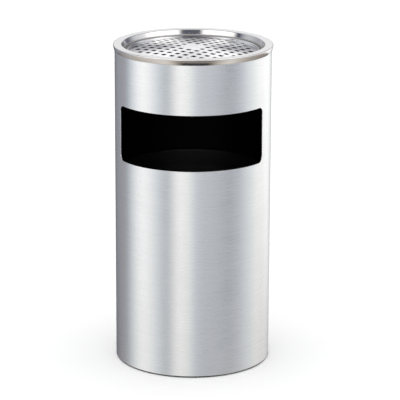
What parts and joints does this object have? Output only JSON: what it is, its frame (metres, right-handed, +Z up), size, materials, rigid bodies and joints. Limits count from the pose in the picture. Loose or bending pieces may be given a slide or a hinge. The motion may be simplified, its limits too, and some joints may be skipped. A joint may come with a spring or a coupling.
{
  "type": "ashtray bin",
  "caption": "Round standing litter bin in brushed steel with a wide front mouth, a lift-off sieved ash tray on top and a lift-out bucket inside.",
  "frame": {"origin": "on the floor, on the bin's axis, at the bottom of the rubber feet", "axes": "+Z up along the bin's axis; the mouth faces -Y; +X is to the right seen from the front"},
  "size_m": [0.2998, 0.2998, 0.61],
  "materials": {
    "brushed_stainless": "fine brushed stainless steel, vertical reflections",
    "polished_stainless": "spun and polished stainless steel",
    "inner_steel": "black lacquered steel",
    "rubber": "moulded black rubber",
    "zinc_steel": "zinc plated",
    "black_enamel": "black powder coat",
    "black_wire": "black coated wire"
  },
  "bodies": {
    "shell": {"outer_shell": "brushed_stainless", "top_hoop": "inner_steel", "base_plate": "inner_steel", "foot_1": "rubber", "foot_2": "rubber", "foot_3": "rubber", "foot_4": "rubber", "foot_washers": "zinc_steel", "foot_screws": "zinc_steel", "foot_nuts": "zinc_steel"},
    "tray": {"ash_tray": "polished_stainless"},
    "sieve": {"sieve_plate": "polished_stainless"},
    "bucket": {"bucket_wall": "black_enamel", "bucket_floor": "black_enamel", "bucket_foot_ring": "black_enamel", "bucket_rim_wire": "zinc_steel", "bucket_lug_left": "black_enamel", "bucket_lug_right": "black_enamel", "lug_rivets": "zinc_steel"},
    "bail": {"bail_handle": "black_wire"}
  },
  "joints": [
    {"name": "tray_lift", "type": "slide", "parent": "shell", "child": "tray", "axis": [0, 0, 1], "range_m": [0, 0.7]},
    {"name": "sieve_lift", "type": "slide", "parent": "tray", "child": "sieve", "axis": [0, 0, 1], "range_m": [0, 0.06]},
    {"name": "bucket_lift", "type": "slide", "parent": "shell", "child": "bucket", "axis": [0, 0, 1], "range_m": [0, 0.595]},
    {"name": "bail_hinge", "type": "hinge", "parent": "bucket", "child": "bail", "pos_m": [0, 0, 0.3768], "axis": [-1, 0, 0], "range_deg": [0, 180]}
  ],
  "couplings": [
    {"joint": "bucket_lift", "follows": "tray_lift", "ratio": 0.85}
  ]
}
